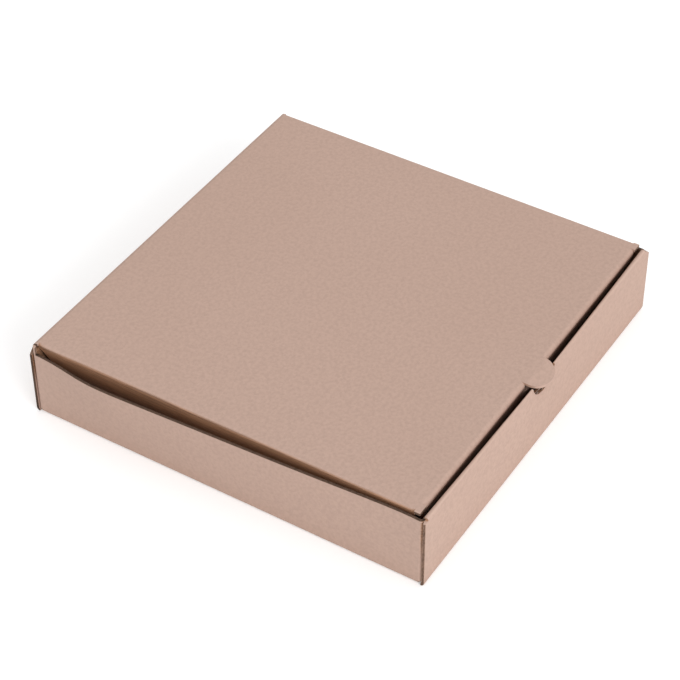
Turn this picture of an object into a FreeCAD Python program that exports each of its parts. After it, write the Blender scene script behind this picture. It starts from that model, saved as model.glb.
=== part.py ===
import FreeCAD, Part
import math
import os

from FreeCAD import Vector

# A small pizza box folded from one blank of thin corrugated board, closed as it stands on a table.
# The origin is the centre of the base's underside. +Z is up, the front wall with the tab faces -Y,
# and the lid turns on the crease at the top of the back wall.

# Outside sizes of the closed box
box_width = 232.0
box_depth = 228.4
box_height = 44.0

# The board and its creases
board = 1.4
layer_gap = 0.1
crease_radius = 0.5
fold = crease_radius + board

# Front wall, a panel rolled over a ridge and locked into the base
left_ridge_inset = 2.4
right_ridge_inset = 5.0
left_ear_chamfer = 1.0
right_ear_chamfer = 3.6
ridge_edge_corner = 1.3
ridge_edge_flap = 1.0
ridge_edge_middle = 0.5
ridge_slope = 66.0
ridge_sag_flap = 0.3
ridge_sag_middle = 0.6
middle_layer_gap = 0.3
lock_width = 30.0
lock_inset = 9.0
lock_clearance = 0.3
lock_drop = 0.3

# Side walls, lower at the back, with a flap at each end folded round the corner
left_wall_height = 42.6
right_wall_height = 40.0
wall_back_height = 38.9
left_back_fold_height = 43.6
flap_length = 40.0
flap_chamfer = 6.0
front_flap_height = 34.0
left_bow = 4.9
right_bow = 0.5

# How far along a side wall, front to back, its top edge stands out, and by what part of its bow
left_bow_line = [(0.05, -0.2), (0.2, 0.22), (0.5, 0.6), (0.72, 0.88), (0.86, 1.12), (0.94, 0.1)]
right_bow_line = [(0.1, 1.0), (0.3, 0.8), (0.6, 0.5), (0.9, 0.2)]

# Lid, hinged on a soft rounded crease
hinge_radius = 3.0
hinge_gap = 0.15
back_corner = 3.0
left_lid_clearance = 1.6
right_lid_clearance = 0.1
right_corner_trim = 0.8
lid_front_clearance = 0.4
front_crease = 2.3
side_crease = 1.5
side_flap_height = 26.0
side_flap_tilt = 18.0
side_flap_back_inset = 3.2
side_flap_front_inset = 3.2
front_flap_drop = 27.0
front_flap_tilt = 14.0
front_flap_inset = 6.0
tuck_chamfer = 10.0

# Half-round tab on the lid's front edge, and the thumb notch under it
tab_x = -0.3
tab_width = 21.2
tab_reach = 3.9
tab_droop = 1.6
tab_bend = 12.0
notch_x = -1.2
notch_width = 22.8
notch_depth = 9.5

half_width = box_width / 2
front = -box_depth / 2
back = box_depth / 2
overcut = 1.0

# The corner flaps lie against the front and back walls, and each side wall runs between them
front_flap_y = front + board + layer_gap
back_flap_y = back - board - layer_gap
wall_start = front_flap_y + fold
wall_end = back_flap_y - fold
flap_tip = half_width - flap_length

ridge_depth = 3 * board + 2 * layer_gap
lock_y = front + ridge_depth
middle_depth = 2 * board + middle_layer_gap
ridge_left = -half_width + left_ridge_inset
ridge_right = half_width - right_ridge_inset

hinge_height = box_height - hinge_radius
lid_left = -half_width + board + left_lid_clearance
lid_right = half_width - board - right_lid_clearance
lid_front = front + ridge_depth + lid_front_clearance
lid_back_flat = back - hinge_radius
tab_tip = front - tab_reach
tab_length = lid_front - tab_tip


def setback(radius, turn):
    """Length that a fold of this outside radius and turn takes from each side of its corner."""
    return radius * math.tan(math.radians(turn) / 2)


def unit(vector):
    """The vector with a length of one."""
    return vector / vector.Length


def board_outline(line, radii, place):
    """Closed outline of a board whose outside face follows line, with the board on its left.

    line holds the outside face's (a, b) corners, which all turn left. Each inner corner is a fold
    with its outside radius in radii, crushed to a sharp inside where that is under the board, and
    place turns (a, b) into a point of the box.
    """
    corners = [Vector(a, b, 0) for a, b in line]
    ways = [unit(after - before) for before, after in zip(corners, corners[1:])]
    lefts = [Vector(-way.y, way.x, 0) for way in ways]
    outside = [[corners[0]]]
    inside = [[corners[0] + lefts[0] * board]]
    for index, radius in enumerate(radii, 1):
        turn = math.degrees(ways[index - 1].getAngle(ways[index]))
        start = corners[index] - ways[index - 1] * setback(radius, turn)
        centre = start + lefts[index - 1] * radius
        halfway = unit(lefts[index - 1] + lefts[index])
        spokes = [lefts[index - 1], halfway, lefts[index]]
        outside.append([centre - spoke * radius for spoke in spokes])
        if radius > board:
            inside.append([centre - spoke * (radius - board) for spoke in spokes])
        else:
            inside.append([corners[index] + halfway * board / math.cos(math.radians(turn) / 2)])
    outside.append([corners[-1]])
    inside.append([corners[-1] + lefts[-1] * board])
    loop = outside + [stop[::-1] for stop in reversed(inside)]
    edges = []
    for stop, following in zip(loop, loop[1:] + loop[:1]):
        if len(stop) == 3:
            edges.append(Part.Arc(*[place(p.x, p.y) for p in stop]).toShape())
        if (following[0] - stop[-1]).Length > 1e-6:
            ends = [place(p.x, p.y) for p in (stop[-1], following[0])]
            edges.append(Part.makeLine(*ends))
    return Part.Wire(edges)


def side_view(x):
    """Places (y, z) at x."""
    return lambda y, z: Vector(x, y, z)


def front_view(y, side):
    """Places (x, z) at y, on the right of the box for side 1 and on its left for side -1."""
    return lambda x, z: Vector(side * x, y, z)


def plan_view(z, side):
    """Places (x, y) at height z, on the right of the box for side 1 and on its left for side -1."""
    return lambda x, y: Vector(side * x, y, z)


def drawn(wire, direction):
    """Solid made by drawing a flat outline along direction."""
    return Part.Face(wire).extrude(direction)


def plate(points, direction):
    """Solid made by drawing a flat polygon along direction."""
    return drawn(Part.makePolygon(points + points[:1]), direction)


def block(x0, x1, y0, y1, z0, z1):
    """Box between two corners."""
    return Part.makeBox(x1 - x0, y1 - y0, z1 - z0, Vector(x0, y0, z0))


def joined(pieces):
    """One solid of pieces that share faces, with the seams between flat faces taken out."""
    return pieces[0].fuse(pieces[1:]).removeSplitter()


def bow_cap(width, depth, place):
    """Outline of a round bite: a chord of this width with an arc that reaches depth beyond it."""
    ends = [place(-width / 2, 0), place(width / 2, 0)]
    arc = Part.Arc(ends[0], place(0, depth), ends[1]).toShape()
    return Part.Wire([arc, Part.makeLine(ends[1], ends[0])])


def half_round(length):
    """Outline of the tab from above: half an ellipse that reaches length in front of the lid."""
    base = Vector(tab_x, lid_front, 0)
    ellipse = Part.Ellipse(base + Vector(tab_width / 2, 0, 0), base + Vector(0, -length, 0), base)
    rim = Part.Arc(ellipse, 0, math.pi).toShape()
    return Part.Wire([rim, Part.makeLine(rim.Vertexes[-1].Point, rim.Vertexes[0].Point)])


def lock_span(side, clearance):
    """Left and right end of the lock tab on one side, widened by a clearance."""
    ends = sorted(side * (half_width - lock_inset - width) for width in (0, lock_width))
    return ends[0] - clearance, ends[1] + clearance


def base_and_back():
    """Base with its front and back folds, and the back wall up to the lid's crease."""
    line = [(front, fold), (front, 0), (back, 0), (back, hinge_height - hinge_gap)]
    spine = drawn(board_outline(line, [fold, fold], side_view(-half_width)), Vector(box_width, 0, 0))
    cuts = []
    for side in (-1, 1):
        inner, outer = sorted((side * (half_width - fold), side * (half_width + overcut)))
        cuts.append(block(inner, outer, front + fold, back - fold, -overcut, board + overcut))
        cuts.append(block(*lock_span(side, lock_clearance), lock_y - board - lock_clearance,
                          lock_y + lock_clearance, -overcut, board + overcut))
        corner = [Vector(side * (half_width + overcut), back + overcut, hinge_height - back_corner - overcut),
                  Vector(side * (half_width - back_corner - overcut), back + overcut, hinge_height + overcut),
                  Vector(side * (half_width + overcut), back + overcut, hinge_height + overcut)]
        cuts.append(plate(corner, Vector(0, -board - 2 * overcut, 0)))
    return spine.cut(cuts)


def rolled_front():
    """Outer panel, sloping ridge and inner panel, with the ears, locks and thumb notch."""
    corner = (box_height, ridge_depth, ridge_edge_corner)
    over_flap = (box_height - ridge_sag_flap, ridge_depth, ridge_edge_flap)
    middle = (box_height - ridge_sag_middle, middle_depth, ridge_edge_middle)
    stations = [(ridge_left,) + corner, (-flap_tip,) + over_flap, (tab_x,) + middle,
                (flap_tip,) + over_flap, (ridge_right,) + corner]
    sections = []
    for x, height, depth, edge in stations:
        peak = height - edge + setback(edge, 90 + ridge_slope)
        line = [(front + depth, board + layer_gap),
                (front + depth, peak - depth * math.tan(math.radians(ridge_slope))),
                (front, peak), (front, fold)]
        sections.append(board_outline(line, [fold, edge], side_view(x)))
    pieces = [Part.makeLoft(sections, True, True)]
    ear_top = box_height - ridge_edge_corner
    for side, ridge_end, chamfer in ((-1, ridge_left, left_ear_chamfer), (1, ridge_right, right_ear_chamfer)):
        ear = [Vector(side * x, front, z) for x, z in (
            (abs(ridge_end), fold), (half_width, fold), (half_width, ear_top - chamfer),
            (half_width - chamfer, ear_top), (abs(ridge_end), ear_top))]
        pieces.append(plate(ear, Vector(0, board, 0)))
        pieces.append(block(*lock_span(side, 0), lock_y - board, lock_y, lock_drop, board + layer_gap))
    notch = bow_cap(notch_width, -notch_depth - overcut,
                    lambda x, z: Vector(notch_x + x, front - overcut, box_height + overcut + z))
    return joined(pieces).cut(drawn(notch, Vector(0, ridge_depth + 2 * overcut, 0)))


def bowed_wall(side, front_height, bow, bow_line):
    """Side wall ruled from its straight crease up to the bowed raw top edge."""
    length = wall_end - wall_start
    slope = (wall_back_height - front_height) / length
    stations = [(0, 0)] + bow_line + [(1, 0)]

    def top_line(inset):
        curve = Part.BSplineCurve()
        curve.buildFromPoles([Vector(side * (half_width - inset + bow * part), wall_start + along * length,
                                     front_height + slope * along * length)
                              for along, part in stations], False, 3)
        return curve.toShape()

    def rim(lines):
        ends = [[edge.valueAt(edge.FirstParameter), edge.valueAt(edge.LastParameter)] for edge in lines]
        return Part.Wire([lines[0], Part.makeLine(ends[0][1], ends[1][1]),
                          lines[1], Part.makeLine(ends[1][0], ends[0][0])])

    crease = [Part.makeLine(Vector(side * (half_width - inset), wall_start, fold),
                            Vector(side * (half_width - inset), wall_end, fold)) for inset in (0, board)]
    return Part.makeLoft([rim(crease), rim([top_line(0), top_line(board)])], True, True)


def corner_flap(side, y, height):
    """Flap behind the front or back wall, with its chamfered tip."""
    root = half_width - fold
    outline = [(root, fold), (flap_tip + flap_chamfer, fold), (flap_tip, fold + flap_chamfer),
               (flap_tip, height - flap_chamfer), (flap_tip + flap_chamfer, height), (root, height)]
    return plate([Vector(side * x, y, z) for x, z in outline], Vector(0, board, 0))


def side_walls():
    """Both side walls with their bottom folds, corner creases and corner flaps."""
    pieces = []
    bottom = [(half_width - fold, 0), (half_width, 0), (half_width, fold)]
    front_corner = [(half_width - fold, front_flap_y), (half_width, front_flap_y), (half_width, wall_start)]
    back_corner_line = [(half_width, wall_end), (half_width, back_flap_y), (half_width - fold, back_flap_y)]
    for side, front_height, back_height, bow, bow_line in (
            (-1, left_wall_height, left_back_fold_height, left_bow, left_bow_line),
            (1, right_wall_height, hinge_height, right_bow, right_bow_line)):
        pieces.append(drawn(board_outline(bottom, [fold], front_view(wall_start, side)),
                            Vector(0, wall_end - wall_start, 0)))
        pieces.append(bowed_wall(side, front_height, bow, bow_line))
        pieces.append(drawn(board_outline(front_corner, [fold], plan_view(fold, side)),
                            Vector(0, 0, front_height - fold)))
        pieces.append(drawn(board_outline(back_corner_line, [fold], plan_view(fold, side)),
                            Vector(0, 0, back_height - fold)))
        pieces.append(corner_flap(side, front_flap_y, front_flap_height))
        pieces.append(corner_flap(side, back_flap_y - board, hinge_height))
    return pieces


def tray():
    """Base, back wall, rolled front wall and side walls as the one folded sheet that they are."""
    return joined([base_and_back(), rolled_front()] + side_walls())


def lid_side_flap(side, edge):
    """Crease and tuck flap on the lid's side edge at this distance, leaning in from the crease."""
    lean = math.radians(side_flap_tilt)
    turn_room = setback(side_crease, 90 + side_flap_tilt)
    low = box_height - side_flap_height
    line = [(edge - side_flap_height * math.tan(lean), low), (edge, box_height),
            (edge - turn_room, box_height)]
    start = lid_front + side_flap_front_inset
    end = back - side_flap_back_inset
    flap = drawn(board_outline(line, [side_crease], front_view(start, side)), Vector(0, end - start, 0))
    outline = [(start, box_height), (start, box_height - 2 * side_crease), (start + tuck_chamfer, low - overcut),
               (end - tuck_chamfer, low - overcut), (end, box_height - 2 * side_crease), (end, box_height)]
    return flap.common(plate([Vector(-half_width, y, z) for y, z in outline], Vector(box_width, 0, 0)))


def lid_front_flap(crease_flat):
    """Crease and tuck flap on the lid's front edge, with the hole that the tab is cut from."""
    lean = math.radians(front_flap_tilt)
    left, right = lid_left + front_flap_inset, lid_right - front_flap_inset
    low = box_height - front_flap_drop
    line = [(crease_flat, box_height), (lid_front, box_height),
            (lid_front + front_flap_drop * math.tan(lean), low)]
    flap = drawn(board_outline(line, [front_crease], side_view(left)), Vector(right - left, 0, 0))
    outline = [(left, box_height), (left, box_height - 2 * front_crease), (left + tuck_chamfer, low - overcut),
               (right - tuck_chamfer, low - overcut), (right, box_height - 2 * front_crease), (right, box_height)]
    swing = front_flap_drop
    flap = flap.common(plate([Vector(x, lid_front - overcut, z) for x, z in outline], Vector(0, swing, 0)))
    hole = bow_cap(tab_width, -tab_length,
                   lambda x, z: Vector(tab_x + x, lid_front - overcut, box_height - front_crease + z))
    strip = block(tab_x - tab_width / 2, tab_x + tab_width / 2, lid_front - overcut, crease_flat,
                  box_height - front_crease, box_height + overcut)
    return flap.cut([drawn(hole, Vector(0, swing, 0)), strip])


def lid_tab(crease_flat):
    """Half-round tab that stays in the lid's plane, droops over the ridge and ends past the front."""
    line = [(crease_flat, box_height), (lid_front, box_height), (tab_tip, box_height - tab_droop)]
    left = tab_x - tab_width / 2
    tongue = drawn(board_outline(line, [tab_bend], side_view(left)), Vector(tab_width, 0, 0))
    outline = [drawn(half_round(tab_length), Vector(0, 0, box_height + overcut)),
               block(left, left + tab_width, lid_front, crease_flat, 0, box_height + overcut)]
    return tongue.common(joined(outline))


def lid():
    """Lid panel with its hinge crease, side and front tuck flaps and half-round tab."""
    hinge = [(back, hinge_height), (back, box_height), (lid_back_flat, box_height)]
    raw_right = lid_right - right_corner_trim
    pieces = [drawn(board_outline(hinge, [hinge_radius], side_view(lid_left)), Vector(raw_right - lid_left, 0, 0))]
    crease_flat = lid_front + setback(front_crease, 90 + front_flap_tilt)
    crease_room = setback(side_crease, 90 + side_flap_tilt)
    under = box_height - board
    panel = block(lid_left, raw_right, lid_front + layer_gap, lid_back_flat, under, box_height)
    zones = [block(lid_left + front_flap_inset, lid_right - front_flap_inset, front, crease_flat,
                   under - overcut, box_height + overcut)]
    for side, edge in ((-1, -lid_left), (1, lid_right)):
        inner, outer = sorted((side * (edge - crease_room), side * half_width))
        zones.append(block(inner, outer, lid_front + side_flap_front_inset, back - side_flap_back_inset,
                           under - overcut, box_height + overcut))
        pieces.append(lid_side_flap(side, edge))
    pieces += [panel.cut(zones), lid_front_flap(crease_flat), lid_tab(crease_flat)]
    return joined(pieces)


os.makedirs("parts", exist_ok=True)
for name, shape in (("tray", tray()), ("lid", lid())):
    solid = shape.Solids[0] if len(shape.Solids) == 1 else shape
    print(name, "solids", len(shape.Solids), "valid", shape.isValid(), "volume", round(shape.Volume, 1))
    solid.exportStep(os.path.join("parts", name + ".step"))
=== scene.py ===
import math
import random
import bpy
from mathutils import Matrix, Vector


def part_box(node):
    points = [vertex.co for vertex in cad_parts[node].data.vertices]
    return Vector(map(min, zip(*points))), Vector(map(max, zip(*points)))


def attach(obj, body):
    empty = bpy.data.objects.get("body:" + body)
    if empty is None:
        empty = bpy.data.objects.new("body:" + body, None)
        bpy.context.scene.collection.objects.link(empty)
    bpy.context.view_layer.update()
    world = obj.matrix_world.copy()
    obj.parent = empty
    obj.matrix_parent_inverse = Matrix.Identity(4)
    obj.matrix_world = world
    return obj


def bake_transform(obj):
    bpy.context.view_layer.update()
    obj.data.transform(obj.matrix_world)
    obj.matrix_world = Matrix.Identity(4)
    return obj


bl_info = {
    "name": "Pizza box",
    "version": (1, 0, 0),
    "blender": (4, 5, 0),
    "location": "3D View > Sidebar > Pizza box",
    "description": "Kraft board, corrugated cut edges, hinge crease and stage for the pizza box",
    "category": "Object",
}

import bmesh
import bpy
from bpy.props import FloatProperty, FloatVectorProperty, IntProperty, PointerProperty
from mathutils import Matrix, Vector

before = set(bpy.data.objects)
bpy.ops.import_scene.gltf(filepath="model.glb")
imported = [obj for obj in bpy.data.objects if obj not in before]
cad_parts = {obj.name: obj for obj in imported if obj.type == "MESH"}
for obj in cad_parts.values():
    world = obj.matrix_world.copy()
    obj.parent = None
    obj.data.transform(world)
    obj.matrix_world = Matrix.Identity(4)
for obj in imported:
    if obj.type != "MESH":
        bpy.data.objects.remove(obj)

# Patterns in the paper and in its painted gap shade, each as noise scale per metre, detail and roughness.
CLOUDS = (520.0, 3.0, 0.6)
GRAIN = (900.0, 4.0, 0.7)
FIBRES = (1700.0, 3.0, 0.65)
DRIFT = (9.0, 1.0, 0.5)
# Bands of painted light within the painted gap shade.
PAINTED_STREAKS = (1100.0, 2.0, 0.5)
CUT_GRAIN = (600.0, 3.0, 0.7)
OPENNESS_SAMPLES = 6

# A direction with this much of an axis in it counts as running along that axis.
MOSTLY = 0.7

# How a cut edge is told from the other faces of the CAD mesh. Points nearer than SAME_POINT are one.
# Its faces turn by less than SMOOTH_TURN from each other, and its corners by more than SQUARE_TURN.
# It is as wide as the board is thick, by area within THICKNESS_SLACK, and nowhere over WIDEST times that.
SAME_POINT = 1e-6
SMOOTH_TURN = math.radians(38)
SQUARE_TURN = 0.7
THICKNESS_SLACK = 0.12
WIDEST = 1.5

# Material slots of the cut edges: the cut paper, the painted shade in the flutes' hollows and the painted
# shade on long edges in shade.
PAPER, HOLLOW_SHADE, SHADED = range(3)


class BoardSettings(bpy.types.PropertyGroup):
    """Colour and grain of the kraft board, and the shade painted into its narrow gaps."""

    kraft: FloatVectorProperty(name="Kraft", description="Colour of the board's faces", subtype="COLOR",
                               size=3, min=0, max=1, default=(0.50, 0.342, 0.276))
    fibre: FloatVectorProperty(name="Fibre", description="Colour of the darker fibres", subtype="COLOR",
                               size=3, min=0, max=1, default=(0.40, 0.26, 0.20))
    worn: FloatVectorProperty(name="Worn crease", description="Colour of the rubbed creases", subtype="COLOR",
                              size=3, min=0, max=1, default=(0.60, 0.43, 0.355))
    mottle: FloatProperty(name="Mottling", description="How strongly the pulp's clouds show",
                          subtype="FACTOR", min=0, max=1, default=1.0)
    roughness: FloatProperty(name="Roughness", description="Roughness of the paper", subtype="FACTOR",
                             min=0, max=1, default=0.82)
    # Painted shade: gap is the colour board takes where ambient occlusion finds a narrow gap, in place of the
    # shade there; gap_reach is how far that occlusion looks.
    gap: FloatVectorProperty(name="Gap", description="Colour of the board in a narrow gap",
                             subtype="COLOR", size=3, min=0, max=1, default=(0.24, 0.126, 0.072))
    gap_reach: FloatProperty(name="Gap reach", description="How near the far side of a gap is to darken it",
                             subtype="DISTANCE", min=0.001, max=0.1, default=0.016)


class EdgeSettings(bpy.types.PropertyGroup):
    """Liners and flutes that the board's cut edges show."""

    pitch: FloatProperty(name="Flute pitch", description="Distance from one flute to the next",
                         subtype="DISTANCE", min=0.001, max=0.01, default=0.0033)
    board: FloatProperty(name="Board", description="Thickness of the board",
                         subtype="DISTANCE", min=0.0005, max=0.005, default=0.0014)
    liner: FloatProperty(name="Liner", description="Thickness of each liner as part of the board's",
                         subtype="FACTOR", min=0.05, max=0.3, default=0.16)
    proud: FloatProperty(name="Edge height", description="Height of the paper over the flutes' hollows",
                         subtype="DISTANCE", min=0.00005, max=0.001, default=0.00015)
    steps: IntProperty(name="Steps", description="Steps that draw one flute", min=4, max=24, default=10)
    paper: FloatVectorProperty(name="Cut paper", description="Colour of the cut paper", subtype="COLOR",
                               size=3, min=0, max=1, default=(0.36, 0.23, 0.17))
    # Painted shade: long cut edges that face up, and those at the rear that face sideways, take this dark
    # colour in place of the shade on them.
    shaded: FloatVectorProperty(name="Crushed edge", subtype="COLOR", size=3, min=0, max=1,
                                 description="Colour of long edges that face up or, to the rear, sideways",
                                 default=(0.13, 0.078, 0.054))
    # Painted shade: this dark colour, on a sheet just over each cut face, stands in for the shade inside the
    # flutes.
    hollow_shade: FloatVectorProperty(name="Hollow", description="Colour inside the flutes", subtype="COLOR",
                                size=3, min=0, max=1, default=(0.22, 0.13, 0.09))


class CreaseSettings(bpy.types.PropertyGroup):
    """Outer liner that runs over the lid's crease from the back wall."""

    below: FloatProperty(name="Below the crease", description="How far the liner reaches down the back wall",
                         subtype="DISTANCE", min=0.0005, max=0.01, default=0.002)
    radius: FloatProperty(name="Crease radius", description="Outside radius of the lid's crease",
                          subtype="DISTANCE", min=0.001, max=0.01, default=0.003)
    lift: FloatProperty(name="Lift", description="How far the liner stands off the board",
                        subtype="DISTANCE", min=0.00001, max=0.0005, default=0.00004)
    turn: FloatProperty(name="Turn", description="How far round the crease the liner reaches",
                        subtype="ANGLE", min=0.1, max=1.57, default=1.2)


class TearSettings(bpy.types.PropertyGroup):
    """Torn paper that hangs in the thumb notch, under the tab."""

    centre: FloatVectorProperty(name="Notch centre", description="Middle of the notch's arc, along X and Z",
                                subtype="XYZ", size=2, default=(-0.0012, 0.04594))
    radius: FloatProperty(name="Notch radius", description="Radius of the notch's arc",
                          subtype="DISTANCE", min=0.005, max=0.03, default=0.01144)
    start: FloatProperty(name="Start", description="Where on the arc the torn edge starts",
                         subtype="ANGLE", default=math.radians(205))
    end: FloatProperty(name="End", description="Where on the arc the torn edge ends",
                       subtype="ANGLE", default=math.radians(320))
    teeth: IntProperty(name="Teeth", description="Number of torn points on the arc",
                       min=4, max=80, default=16)
    longest: FloatProperty(name="Longest", description="Length of the longest torn point",
                           subtype="DISTANCE", min=0.0002, max=0.003, default=0.001)
    paper: FloatProperty(name="Paper", description="Thickness of the torn liner",
                         subtype="DISTANCE", min=0.00005, max=0.0005, default=0.00025)
    seed: IntProperty(name="Seed", description="Chooses the shape of the torn points", min=0, default=4)


class StageSettings(bpy.types.PropertyGroup):
    """Camera, light and floor of the photo."""

    lens: FloatProperty(name="Lens", description="Focal length in mm", min=20, max=400, default=114.1)
    azimuth: FloatProperty(name="Azimuth", description="Camera's direction round the box", subtype="ANGLE",
                           default=math.radians(-57.77))
    elevation: FloatProperty(name="Elevation", description="Camera's height over the horizon",
                             subtype="ANGLE", default=math.radians(42.04))
    roll: FloatProperty(name="Roll", description="Camera's tilt",
                        subtype="ANGLE", default=math.radians(-0.41))
    distance: FloatProperty(name="Distance", description="Camera to target",
                            subtype="DISTANCE", default=1.1086)
    target: FloatVectorProperty(name="Target", description="Point that the camera looks at",
                                subtype="XYZ", size=3, default=(-0.00901, -0.00128, 0.02))
    sky: FloatProperty(name="Fill", description="Strength of the white surround", min=0, max=5, default=0.88)
    key: FloatProperty(name="Key", description="Power of the large front lamp", subtype="POWER",
                       min=0, max=500, default=76)
    key_size: FloatVectorProperty(name="Key size", description="Width and height of the front lamp",
                                  subtype="XYZ", unit="LENGTH", size=2, default=(2.6, 2.0))
    key_way: FloatVectorProperty(name="Key direction", description="Direction from the box to the front lamp",
                                 subtype="DIRECTION", size=3, default=(-0.36, -0.83, 0.45))
    key_distance: FloatProperty(name="Key distance", description="Box to front lamp", subtype="DISTANCE",
                                min=0.5, max=20, default=4.0)
    floor_white: FloatProperty(name="Floor lift", description="White that the camera sees added to the floor",
                               min=0, max=1, default=0.22)


def settings():
    """The scene, which holds this add-on's groups of settings."""
    return bpy.context.scene


def material(name):
    """New node material, with its node tree and its output node."""
    made = bpy.data.materials.new(name)
    made.use_nodes = True
    tree = made.node_tree
    tree.nodes.clear()
    output = tree.nodes.new("ShaderNodeOutputMaterial")
    return made, tree, output


def node(tree, kind, inputs=(), **facts):
    """Adds a node, with its facts set and its inputs given a value or linked to a socket."""
    made = tree.nodes.new(kind)
    for name, value in facts.items():
        setattr(made, name, value)
    for name, value in dict(inputs).items():
        if isinstance(value, bpy.types.NodeSocket):
            tree.links.new(value, made.inputs[name])
        else:
            made.inputs[name].default_value = value
    return made


def rgba(colour, share=1.0):
    """A colour with full alpha, times share."""
    return (*(share * part for part in colour), 1.0)


def mixed(tree, factor, first, second):
    """Colour socket of a mix of two colours."""
    made = node(tree, "ShaderNodeMix", data_type="RGBA")
    for socket, value in zip((made.inputs[0], made.inputs[6], made.inputs[7]), (factor, first, second)):
        if isinstance(value, bpy.types.NodeSocket):
            tree.links.new(value, socket)
        else:
            socket.default_value = value
    return made.outputs[2]


def ramp(tree, socket, low, high):
    """Factor that rises smoothly from 0 at low to 1 at high."""
    made = node(tree, "ShaderNodeMapRange", {"Value": socket, "From Min": low, "From Max": high},
                interpolation_type="SMOOTHSTEP")
    return made.outputs["Result"]


def math_of(tree, operation, *values):
    """Socket of a math node."""
    made = node(tree, "ShaderNodeMath", operation=operation)
    for socket, value in zip(made.inputs, values):
        if isinstance(value, bpy.types.NodeSocket):
            tree.links.new(value, socket)
        else:
            socket.default_value = value
    return made.outputs[0]


def seen_directly(tree):
    """Factor that is 1 for what the camera sees, also in a reflection or through clear pieces."""
    path = node(tree, "ShaderNodeLightPath").outputs
    return math_of(tree, "MAXIMUM", path["Is Camera Ray"],
                   math_of(tree, "MAXIMUM", path["Is Glossy Ray"], path["Is Transmission Ray"]))


def stretched(tree, vector, scale):
    """Coordinates scaled along each axis."""
    return node(tree, "ShaderNodeMapping", {"Vector": vector, "Scale": scale}).outputs[0]


def noise(tree, vector, pattern):
    """Noise factor of a pattern over the given coordinates."""
    scale, detail, rough = pattern
    return node(tree, "ShaderNodeTexNoise",
                {"Vector": vector, "Scale": scale, "Detail": detail, "Roughness": rough}).outputs[0]


def near_line(tree, axes, first, second, reach):
    """Factor that is 1 on a straight line through (first, second) of two axes and 0 beyond reach."""
    a = math_of(tree, "SUBTRACT", axes[0], first)
    b = math_of(tree, "SUBTRACT", axes[1], second)
    square = math_of(tree, "ADD", math_of(tree, "MULTIPLY", a, a), math_of(tree, "MULTIPLY", b, b))
    return ramp(tree, math_of(tree, "SQRT", square), reach, 0.0)


def openness(tree):
    """Factor that falls from 1 in the open to 0 deep in a narrow gap."""
    return node(tree, "ShaderNodeAmbientOcclusion", {"Distance": settings().pizza_board.gap_reach},
                samples=OPENNESS_SAMPLES).outputs["AO"]


def facing_aside(tree, place):
    """Factor that is 1 where a surface faces left or right, away from the middle, and 0 elsewhere."""
    full_from = 0.03  # metres off the middle, for a surface that faces straight aside
    normal = node(tree, "ShaderNodeTexCoord").outputs["Normal"]
    across, facing = (node(tree, "ShaderNodeSeparateXYZ", {"Vector": each}).outputs[0]
                      for each in (place, normal))
    return ramp(tree, math_of(tree, "MULTIPLY", across, facing), 0.0, full_from)


def pulp_tone(tree, place, clouds, grain):
    """Colour of flat board: kraft with cloudy pulp, dark grain, pale fibres and a slow drift."""
    board = settings().pizza_board
    fibre_stretch, cloud_shade = (0.35, 1.0, 1.0), 0.88
    fibres = noise(tree, stretched(tree, place, fibre_stretch), FIBRES)
    drift = noise(tree, place, DRIFT)
    # Each layer is a pattern, the range of it that shows, its strength and its colour.
    layers = ((clouds, 0.3, 0.75, board.mottle, rgba(board.kraft, cloud_shade)),
              (grain, 0.52, 0.78, 0.4, rgba(board.fibre)),
              (fibres, 0.55, 0.8, 0.3, rgba(board.worn)),
              (drift, 0.35, 0.7, 0.12, rgba(board.fibre)))
    tone = rgba(board.kraft)
    for pattern, low, high, strength, colour in layers:
        shown = math_of(tree, "MULTIPLY", ramp(tree, pattern, low, high), strength)
        tone = mixed(tree, shown, tone, colour)
    return tone


def rubbed_tone(tree, axes, clouds, tone, creases):
    """A tone with its creases rubbed lighter, in patches.

    creases holds, for each straight crease, its two axes, its place on both, its reach and its
    strength.
    """
    patches = ramp(tree, clouds, 0.2, 0.6)
    for pair, first, second, reach, strength in creases:
        line = near_line(tree, [axes[i] for i in pair], first, second, reach)
        rubbed = math_of(tree, "MULTIPLY", math_of(tree, "MULTIPLY", line, strength), patches)
        tone = mixed(tree, rubbed, tone, rgba(settings().pizza_board.worn))
    return tone


def painted_gap_shade(tree, place, free, deepest):
    """Painted shade for board in a narrow gap, with bands of painted light along the box, and its deepest
    part times deepest.
    """
    colour = settings().pizza_board.gap
    # Bands of painted light along the box lift the painted gap shade to 1.8 times its colour.
    streak_stretch, painted_streak_light = (1.0, 0.03, 1.0), 1.8
    painted_streaks = ramp(tree, noise(tree, stretched(tree, place, streak_stretch), PAINTED_STREAKS), 0.42, 0.58)
    tone = mixed(tree, painted_streaks, rgba(colour), rgba(colour, painted_streak_light))
    # The deepest part takes the gap colour times deepest; above 1 this paints light back into a deep gap that
    # real occlusion darkens.
    return mixed(tree, ramp(tree, free, 0.55, 0.1), tone, rgba(colour, deepest))


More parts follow.
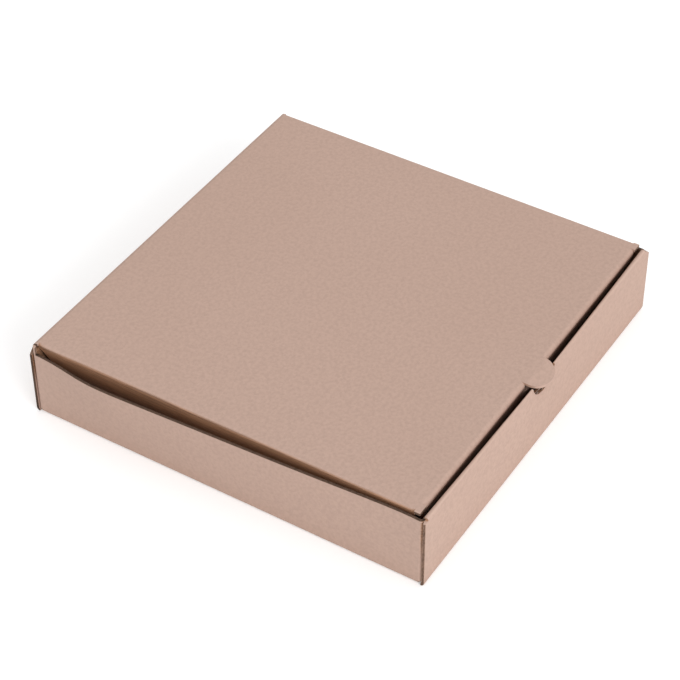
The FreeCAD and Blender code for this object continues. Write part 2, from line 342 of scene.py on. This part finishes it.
def kraft_material(name, creases, deepest, sides_only):
    """Kraft board with pulp clouds, fibres, creases that are rubbed lighter, and painted shade in narrow
    gaps.

    creases is as in rubbed_tone, and deepest scales the deepest part of the painted gap shade. With
    sides_only the gap shade is painted on nothing but the left and right outsides.
    """
    board = settings().pizza_board
    # How occluded a face must be for the painted gap shade to start and to be full.
    gap_starts, gap_full = 0.96, (0.8 if sides_only else 0.7)
    cloud_relief, grain_relief, relief_strength, relief_height = 0.6, 0.4, 0.3, 0.00008
    open_gloss = 0.5
    made, tree, output = material(name)
    place = node(tree, "ShaderNodeTexCoord").outputs["Object"]
    axes = node(tree, "ShaderNodeSeparateXYZ", {"Vector": place}).outputs
    clouds, grain = noise(tree, place, CLOUDS), noise(tree, place, GRAIN)
    free = openness(tree)
    tone = rubbed_tone(tree, axes, clouds, pulp_tone(tree, place, clouds, grain), creases)

    # Painted shade: where ambient occlusion finds a narrow gap the kraft turns to the gap colour, except near
    # the floor.
    off_floor = ramp(tree, axes[2], board.gap_reach, 2 * board.gap_reach)
    gap_shade_share = math_of(tree, "MULTIPLY", ramp(tree, free, gap_starts, gap_full), off_floor)
    if sides_only:
        gap_shade_share = math_of(tree, "MULTIPLY", gap_shade_share, facing_aside(tree, place))
    tone = mixed(tree, gap_shade_share, tone, painted_gap_shade(tree, place, free, deepest))

    height = math_of(tree, "ADD", math_of(tree, "MULTIPLY", clouds, cloud_relief),
                     math_of(tree, "MULTIPLY", grain, grain_relief))
    bump = node(tree, "ShaderNodeBump",
                {"Strength": relief_strength, "Distance": relief_height, "Height": height}).outputs[0]
    gloss = math_of(tree, "MULTIPLY", ramp(tree, free, 0.3, 0.9), open_gloss)
    shader = node(tree, "ShaderNodeBsdfPrincipled", {"Base Color": tone, "Roughness": board.roughness,
                                                     "Specular IOR Level": gloss, "Normal": bump})
    tree.links.new(shader.outputs[0], output.inputs["Surface"])
    return made


def plain_material(name, colour, roughness):
    """Cut paper of one colour with a coarse grain, and painted shade that darkens it deep in a gap."""
    dark_grain, deep, gloss = 0.6, 0.15, 0.2
    made, tree, output = material(name)
    place = node(tree, "ShaderNodeTexCoord").outputs["Object"]
    grain = noise(tree, place, CUT_GRAIN)
    tone = mixed(tree, ramp(tree, grain, 0.35, 0.7), rgba(colour), rgba(colour, dark_grain))
    # Painted shade: deep in a gap the colour falls to deep times itself.
    tone = mixed(tree, ramp(tree, openness(tree), 0.6, 0.2), tone, rgba(colour, deep))
    shader = node(tree, "ShaderNodeBsdfPrincipled",
                  {"Base Color": tone, "Roughness": roughness, "Specular IOR Level": gloss})
    tree.links.new(shader.outputs[0], output.inputs["Surface"])
    return made


def mesh_object(name, points, faces, *materials, chosen=None):
    """New mesh object, with a material index for each face in chosen."""
    mesh = bpy.data.meshes.new(name)
    mesh.from_pydata([tuple(p) for p in points], [], faces)
    for each in materials:
        mesh.materials.append(each)
    if chosen:
        mesh.polygons.foreach_set("material_index", chosen)
    mesh.validate()
    made = bpy.data.objects.new(name, mesh)
    bpy.context.scene.collection.objects.link(made)
    return made


def smooth_regions(bm, limit):
    """Groups of faces that meet their neighbours in the group at less than limit, in the mesh's order."""
    waiting = set(bm.faces)
    regions = []
    for first in bm.faces:
        if first not in waiting:
            continue
        waiting.remove(first)
        region = [first]
        for face in region:
            for edge in face.edges:
                for other in edge.link_faces:
                    if other in waiting and face.normal.angle(other.normal, 0) < limit:
                        waiting.remove(other)
                        region.append(other)
        regions.append(region)
    return regions


def outline_loops(region):
    """Closed loops of points round a region."""
    inside = set(region)
    steps = {}
    for face in region:
        for loop in face.loops:
            if not any(other in inside and other is not face for other in loop.edge.link_faces):
                steps.setdefault(loop.vert, []).append(loop.link_loop_next.vert)
    loops = []
    while steps:
        start = next(iter(steps))
        here, line = start, []
        while here in steps:
            line.append(here.co.copy())
            following = steps[here].pop()
            if not steps[here]:
                del steps[here]
            here = following
            if here is start:
                break
        loops.append(line)
    return loops


def corner_turn(loop, index):
    """Angle that a loop turns through at one of its points."""
    before, here, after = loop[index - 1], loop[index], loop[(index + 1) % len(loop)]
    return (here - before).angle(after - here, 0)


def long_sides(loop, thickness):
    """The two long sides of a cut edge, both from the same end, or None if it has no two square ends."""
    count = len(loop)
    lengths = [(loop[(i + 1) % count] - loop[i]).length for i in range(count)]
    ends = [i for i in range(count) if abs(lengths[i] - thickness) < THICKNESS_SLACK * thickness
            and min(corner_turn(loop, i), corner_turn(loop, (i + 1) % count)) > SQUARE_TURN]
    best = None
    for first in ends:
        for second in ends:
            if first < second:
                one = sum(lengths[first + 1:second])
                other = sum(lengths) - one - lengths[first] - lengths[second]
                if best is None or abs(one - other) < best[0]:
                    best = (abs(one - other), first, second)
    if best is None:
        return None
    _, first, second = best
    one = loop[first + 1:second + 1]
    other = (loop[second + 1:] + loop[:first + 1])[::-1]
    if len(one) < 2 or len(other) < 2:
        return None
    return one, other


def along(line, spacing):
    """Points on a line at even steps of about this spacing, and how far along each one is."""
    lengths = [(b - a).length for a, b in zip(line, line[1:])]
    total = sum(lengths)
    count = max(1, round(total / spacing))
    points, index, passed = [], 0, 0.0
    for step in range(count + 1):
        wanted = total * step / count
        while index < len(lengths) - 1 and passed + lengths[index] < wanted:
            passed += lengths[index]
            index += 1
        share = min(1.0, (wanted - passed) / lengths[index]) if lengths[index] else 0.0
        points.append((line[index].lerp(line[index + 1], share), wanted))
    return points


def nearest_on(line, point):
    """Nearest point of a line to a point."""
    best = None
    for a, b in zip(line, line[1:]):
        way = b - a
        share = max(0.0, min(1.0, (point - a).dot(way) / way.length_squared)) if way.length else 0.0
        place = a + way * share
        if best is None or (place - point).length < (best - point).length:
            best = place
    return best


def flute_way(across, point, tray_low, tray_high):
    """Direction in which the flutes run at a cut edge, from the way across the board there.

    They run from side to side, and so stand upright in the side walls and in the corner flaps,
    which are the second layer in from the front and from the back.
    """
    board = settings().pizza_edges.board
    depth = min(point.y - tray_low.y, tray_high.y - point.y)
    in_corner_flap = abs(across.y) > MOSTLY and board < depth < 2.2 * board
    if abs(across.x) > MOSTLY or in_corner_flap:
        return Vector((0, 0, 1))
    return Vector((1, 0, 0))


def at_hinge(point, facing, tray_high):
    """Whether this edge is where the CAD model parts the sheet at the lid's crease, so no real cut."""
    board = settings().pizza_edges.board
    foot = tray_high.z - settings().pizza_crease.radius
    return (abs(facing.z) > MOSTLY and abs(point.z - foot) < 0.5 * board
            and point.y > tray_high.y - 1.5 * board)


def stations_between(one, other, region, spacing):
    """Stations at even steps along a cut edge, from its two long sides.

    A station is a point on the first side, the point across from it, the outward normal and how
    far along the edge it is.
    """
    stations = []
    sampled = along(one, spacing)
    for k, (point, distance) in enumerate(sampled):
        across = nearest_on(other, point)
        before, after = sampled[max(0, k - 1)][0], sampled[min(len(sampled) - 1, k + 1)][0]
        tangent = (after - before).normalized()
        normal = tangent.cross((across - point).normalized()).normalized()
        if k == 0:
            nearest = min(region, key=lambda face: (face.calc_center_median() - point).length)
            sign = 1 if normal.dot(nearest.normal) > 0 else -1
        stations.append((point, across, normal * sign, distance))
    return stations


def cut_edges(source):
    """Length and stations of each cut edge of a CAD node.

    A cut edge is a smooth region with one outline and two square ends, as wide as the board is
    thick.
    """
    edges = settings().pizza_edges
    bm = bmesh.new()
    bm.from_mesh(source.data)
    bmesh.ops.remove_doubles(bm, verts=bm.verts, dist=SAME_POINT)
    bm.normal_update()
    found = []
    for region in smooth_regions(bm, SMOOTH_TURN):
        loops = outline_loops(region)
        if len(loops) != 1 or len(loops[0]) < 4:
            continue
        loop = loops[0]
        area = sum(face.calc_area() for face in region)
        perimeter = sum((b - a).length for a, b in zip(loop, loop[1:] + loop[:1]))
        length = perimeter / 2 - edges.board
        if length <= 2 * edges.board or abs(area / length / edges.board - 1) > THICKNESS_SLACK:
            continue
        sides = long_sides(loop, edges.board)
        if sides is None:
            continue
        stations = stations_between(*sides, region, edges.pitch / edges.steps)
        if max((across - point).length for point, across, _, _ in stations) <= WIDEST * edges.board:
            found.append((length, stations))
    bm.free()
    return found


def flute_wave(stations, tray_low, tray_high):
    """Middle of the fluted paper at each station, as part of the way across the board.

    It swings in full where the flutes cross the edge, and a little where they run along it.
    """
    edges = settings().pizza_edges
    between_liners, along_flutes = 0.9 * (0.5 - edges.liner), 0.25
    wave = []
    for k, (point, across, _, distance) in enumerate(stations):
        following = stations[min(len(stations) - 1, k + 1)][0] - stations[max(0, k - 1)][0]
        flutes = flute_way((across - point).normalized(), point, tray_low, tray_high)
        crossed = 1 - abs(following.normalized().dot(flutes)) > 0.5
        swing = between_liners * (1 if crossed else along_flutes)
        wave.append(0.5 + swing * math.sin(2 * math.pi * distance / edges.pitch))
    return wave


def cut_edge_mesh(source, name, *looks):
    """Liners and fluting along every cut edge of a CAD node, standing on it by a hair.

    looks holds the materials of the cut paper, of the painted shade in the flutes' hollows and of the painted
    shade on long upward and rear side edges.
    """
    edges = settings().pizza_edges
    tray_low, tray_high = (Vector(corner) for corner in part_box("tray"))
    floor_lift, flute_paper, flute_height = 0.00002, 0.9 * edges.liner, 0.85 * edges.proud
    points, faces, chosen = [], [], []

    def ribbon(stations, low, high, top, look):
        """Upright paper strip from low to high across the board, raised to top."""
        base = len(points)
        for (a, b, normal, _), start, end in zip(stations, low, high):
            rim = [a.lerp(b, start), a.lerp(b, end)]
            points.extend((rim[0], rim[0] + normal * top, rim[1] + normal * top, rim[1]))
        for k in range(len(stations) - 1):
            for j in range(3):
                first = base + 4 * k + j
                faces.append((first, first + 1, first + 5, first + 4))
                chosen.append(look)
        faces.append((base, base + 1, base + 2, base + 3))
        faces.append(tuple(base + 4 * (len(stations) - 1) + j for j in (3, 2, 1, 0)))
        chosen.extend((look, look))

    for length, stations in cut_edges(source):
        middle, _, facing, _ = stations[len(stations) // 2]
        if at_hinge(middle, facing, tray_high):
            continue
        # Long edges that face up, and the sideways ones at the rear, take the dark painted-shade colour on
        # paper and flutes alike.
        rear_side_edge = abs(facing.x) > MOSTLY and middle.y > 0
        shaded = length > 8 * edges.board and (facing.z > MOSTLY or rear_side_edge)
        paper, hollow_shade = (SHADED, SHADED) if shaded else (PAPER, HOLLOW_SHADE)

        # A sheet in the flute hollows' dark colour, a hair over the cut face, paints the shade inside the
        # flutes between the paper strips.
        base = len(points)
        for a, b, normal, _ in stations:
            points.extend((a + normal * floor_lift, b + normal * floor_lift))
        for k in range(len(stations) - 1):
            faces.append((base + 2 * k, base + 2 * k + 1, base + 2 * k + 3, base + 2 * k + 2))
            chosen.append(hollow_shade)

        count = len(stations)
        ribbon(stations, [0.0] * count, [edges.liner] * count, edges.proud, paper)
        ribbon(stations, [1 - edges.liner] * count, [1.0] * count, edges.proud, paper)
        wave = flute_wave(stations, tray_low, tray_high)
        ribbon(stations, [place - flute_paper / 2 for place in wave],
               [place + flute_paper / 2 for place in wave], flute_height, paper)
    return mesh_object(name, points, faces, *looks, chosen=chosen)


class PIZZABOX_OT_board(bpy.types.Operator):
    """Gives the folded board its kraft surface and rubbed creases."""

    bl_idname = "pizzabox.board"
    bl_label = "Kraft board"

    def execute(self, context):
        low, high = (Vector(corner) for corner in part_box("tray"))
        lid_low, lid_high = (Vector(corner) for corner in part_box("lid"))
        # The side walls bow outward, so the side that bows less is nearer to the base's half width.
        half = min(-low.x, high.x)
        # A crease from side to side stays in place along Y and Z, one from front to rear along X and Z.
        side_to_side, front_to_rear = (1, 2), (0, 2)
        # How far the rubbing reaches from a crease, and how strong it is.
        fold, ridge_edge, hinge_crease = (0.0016, 0.5), (0.0014, 0.7), (0.0026, 0.5)
        tray = [(side_to_side, low.y, high.z, *ridge_edge), (side_to_side, low.y, 0.0, *fold),
                (side_to_side, high.y, 0.0, *fold), (front_to_rear, -half, 0.0, *fold),
                (front_to_rear, half, 0.0, *fold)]
        lid = [(front_to_rear, lid_low.x, lid_high.z, *fold), (front_to_rear, lid_high.x, lid_high.z, *fold),
               (side_to_side, lid_high.y, lid_high.z, *hinge_crease)]
        # deepest scales the painted gap shade at its deepest: 2.6 on the lid paints light back into its side
        # flaps, which real occlusion darkens.
        for name, creases, deepest in (("tray", tray, 0.9), ("lid", lid, 2.6)):
            look = kraft_material("kraft " + name, creases, deepest, name == "lid")
            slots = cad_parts[name].data.materials
            slots.clear()
            slots.append(look)
        return {"FINISHED"}


class PIZZABOX_OT_edges(bpy.types.Operator):
    """Adds the liners and flutes that show along the board's cut edges."""

    bl_idname = "pizzabox.edges"
    bl_label = "Cut edges"

    def execute(self, context):
        edges = context.scene.pizza_edges
        looks = [plain_material("cut paper", edges.paper, 0.9),
                 plain_material("flute hollow", edges.hollow_shade, 0.95),
                 plain_material("crushed edge", edges.shaded, 0.95)]
        for name in ("tray", "lid"):
            strips = cut_edge_mesh(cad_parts[name], name + "_cut_edges", *looks)
            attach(strips, name)
        return {"FINISHED"}


class PIZZABOX_OT_crease(bpy.types.Operator):
    """Lays the outer liner over the lid's crease."""

    bl_idname = "pizzabox.crease"
    bl_label = "Lid crease"

    def execute(self, context):
        crease = context.scene.pizza_crease
        steps, fold_foot = 14, 0.0003
        _, high = (Vector(corner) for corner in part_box("lid"))
        rear = [vertex.co.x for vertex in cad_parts["lid"].data.vertices
                if vertex.co.y > high.y - crease.lift]
        foot = high.z - crease.radius
        reach = crease.radius + crease.lift
        profile = [(high.y + crease.lift, foot - crease.below), (high.y + crease.lift, foot - fold_foot)]
        profile += [(high.y - crease.radius + reach * math.cos(crease.turn * k / steps),
                     foot + reach * math.sin(crease.turn * k / steps)) for k in range(steps + 1)]
        points = [(x, y, z) for y, z in profile for x in (min(rear), max(rear))]
        faces = [(2 * k, 2 * k + 1, 2 * k + 3, 2 * k + 2) for k in range(len(profile) - 1)]
        liner = mesh_object("lid_crease_liner", points, faces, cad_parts["lid"].data.materials[0])
        for face in liner.data.polygons:
            face.use_smooth = True
        # The liner bends from just under the fold's foot to a little way round the fold.
        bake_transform(liner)
        return {"FINISHED"}


class PIZZABOX_OT_tear(bpy.types.Operator):
    """Adds the torn liner along the thumb notch, under the tab."""

    bl_idname = "pizzabox.tear"
    bl_label = "Torn notch"

    def execute(self, context):
        tear = context.scene.pizza_tear
        low, _ = (Vector(corner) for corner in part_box("tray"))
        rooted, shallowest, deepest, strip_depth = 0.0003, 0.0001, 0.0009, 0.0005
        strip_start, strip_end = math.radians(222), math.radians(296)
        dice = random.Random(tear.seed)
        points, faces = [], []

        def sliver(corners, depth):
            """Flat piece of liner with these (x, z) corners, this far behind the front wall's face."""
            base, count = len(points), len(corners)
            points.extend((x, low.y + depth + back, z) for back in (0, tear.paper) for x, z in corners)
            faces.append(tuple(base + k for k in range(count)))
            faces.append(tuple(base + count + k for k in reversed(range(count))))
            faces.extend((base + k, base + (k + 1) % count, base + count + (k + 1) % count, base + count + k)
                         for k in range(count))

        def on_arc(angle, inward=0.0):
            """Point (x, z) of the notch's arc, or this far inward of it."""
            reach = tear.radius - inward
            return tear.centre[0] + reach * math.cos(angle), tear.centre[1] + reach * math.sin(angle)

        step = (tear.end - tear.start) / tear.teeth
        for k in range(tear.teeth):
            angle = tear.start + (k + dice.uniform(-0.3, 0.3)) * step
            tip = on_arc(angle + dice.uniform(-0.6, 0.9) * step, tear.longest * dice.uniform(0.2, 1.0))
            sliver([on_arc(angle - 0.5 * step, -rooted), on_arc(angle + 0.5 * step, -rooted), tip],
                   dice.uniform(shallowest, deepest))
        a, b = on_arc(strip_start), on_arc(strip_end)
        middle = ((a[0] + b[0]) / 2, (a[1] + b[1]) / 2)
        sliver([a, middle, b, (middle[0], middle[1] + tear.longest / 2)], strip_depth)
        look = plain_material("torn liner", context.scene.pizza_board.worn, 0.9)
        torn = mesh_object("torn_notch", points, faces, look)
        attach(torn, "tray")
        return {"FINISHED"}


class PIZZABOX_OT_stage(bpy.types.Operator):
    """Sets the photo's camera, its soft light and the white floor."""

    bl_idname = "pizzabox.stage"
    bl_label = "Stage"

    def execute(self, context):
        scene = context.scene
        stage = scene.pizza_stage
        sensor, floor_half, floor_grey = 36.0, 6.0, 0.9
        back = Vector((math.sin(stage.azimuth) * math.cos(stage.elevation),
                       -math.cos(stage.azimuth) * math.cos(stage.elevation), math.sin(stage.elevation)))
        right = Vector((0, 0, 1)).cross(back).normalized()
        up = back.cross(right)
        turned_right = right * math.cos(stage.roll) + up * math.sin(stage.roll)
        turned_up = up * math.cos(stage.roll) - right * math.sin(stage.roll)
        lens = bpy.data.cameras.new("camera")
        lens.lens, lens.sensor_width = stage.lens, sensor
        camera = bpy.data.objects.new("camera", lens)
        spot = Vector(stage.target) + back * stage.distance
        camera.matrix_world = Matrix.Translation(spot) @ Matrix(
            (turned_right, turned_up, back)).transposed().to_4x4()
        scene.collection.objects.link(camera)
        scene.camera = camera

        lamp = bpy.data.lights.new("key", "AREA")
        lamp.shape, lamp.energy = "RECTANGLE", stage.key
        lamp.size, lamp.size_y = stage.key_size
        key = bpy.data.objects.new("key", lamp)
        way = Vector(stage.key_way).normalized()
        key.location = way * stage.key_distance
        key.rotation_euler = way.to_track_quat("Z", "Y").to_euler()
        scene.collection.objects.link(key)

        world = bpy.data.worlds.new("white surround")
        world.use_nodes = True
        tree = world.node_tree
        tree.nodes.clear()
        seen = seen_directly(tree)
        fill = node(tree, "ShaderNodeBackground", {"Color": (1, 1, 1, 1), "Strength": stage.sky})
        white = node(tree, "ShaderNodeBackground", {"Color": (1, 1, 1, 1), "Strength": 1.0})
        both = node(tree, "ShaderNodeMixShader", {0: seen, 1: fill.outputs[0], 2: white.outputs[0]})
        result = node(tree, "ShaderNodeOutputWorld")
        tree.links.new(both.outputs[0], result.inputs["Surface"])
        scene.world = world

        made, tree, output = material("white floor")
        diffuse = node(tree, "ShaderNodeBsdfDiffuse", {"Color": rgba([floor_grey] * 3)})
        seen = seen_directly(tree)
        lift = node(tree, "ShaderNodeEmission",
                    {"Color": (1, 1, 1, 1), "Strength": math_of(tree, "MULTIPLY", seen, stage.floor_white)})
        sum_of = node(tree, "ShaderNodeAddShader", {0: diffuse.outputs[0], 1: lift.outputs[0]})
        tree.links.new(sum_of.outputs[0], output.inputs["Surface"])
        corners = [(x * floor_half, y * floor_half, 0) for x, y in ((-1, -1), (1, -1), (1, 1), (-1, 1))]
        floor = mesh_object("floor", corners, [(0, 1, 2, 3)], made)
        scene.view_settings.view_transform = "Standard"
        return {"FINISHED"}


class PIZZABOX_PT_panel(bpy.types.Panel):
    """Sidebar panel with the box's settings and operators."""

    bl_label = "Pizza box"
    bl_idname = "PIZZABOX_PT_panel"
    bl_space_type = "VIEW_3D"
    bl_region_type = "UI"
    bl_category = "Pizza box"

    def draw(self, context):
        scene = context.scene
        for name in GROUPS:
            group = getattr(scene, name)
            section = self.layout.box()
            for setting in group.__annotations__:
                section.prop(group, setting)
            section.operator("pizzabox." + name.removeprefix("pizza_"))


GROUPS = {"pizza_board": BoardSettings, "pizza_edges": EdgeSettings,
          "pizza_crease": CreaseSettings, "pizza_tear": TearSettings, "pizza_stage": StageSettings}
CLASSES = (*GROUPS.values(), PIZZABOX_OT_board, PIZZABOX_OT_edges, PIZZABOX_OT_crease,
           PIZZABOX_OT_tear, PIZZABOX_OT_stage, PIZZABOX_PT_panel)


def register():
    """Registers the classes and puts each group of settings on the scene."""
    for each in CLASSES:
        bpy.utils.register_class(each)
    for name, group in GROUPS.items():
        setattr(bpy.types.Scene, name, PointerProperty(type=group))


def unregister():
    """Takes the settings and the classes away again."""
    for name in GROUPS:
        delattr(bpy.types.Scene, name)
    for each in reversed(CLASSES):
        bpy.utils.unregister_class(each)


def main():
    """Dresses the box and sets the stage."""
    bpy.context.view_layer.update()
    register()
    bpy.ops.pizzabox.board()
    bpy.ops.pizzabox.edges()
    bpy.ops.pizzabox.crease()
    bpy.ops.pizzabox.tear()
    bpy.ops.pizzabox.stage()


if __name__ == "__main__":
    main()
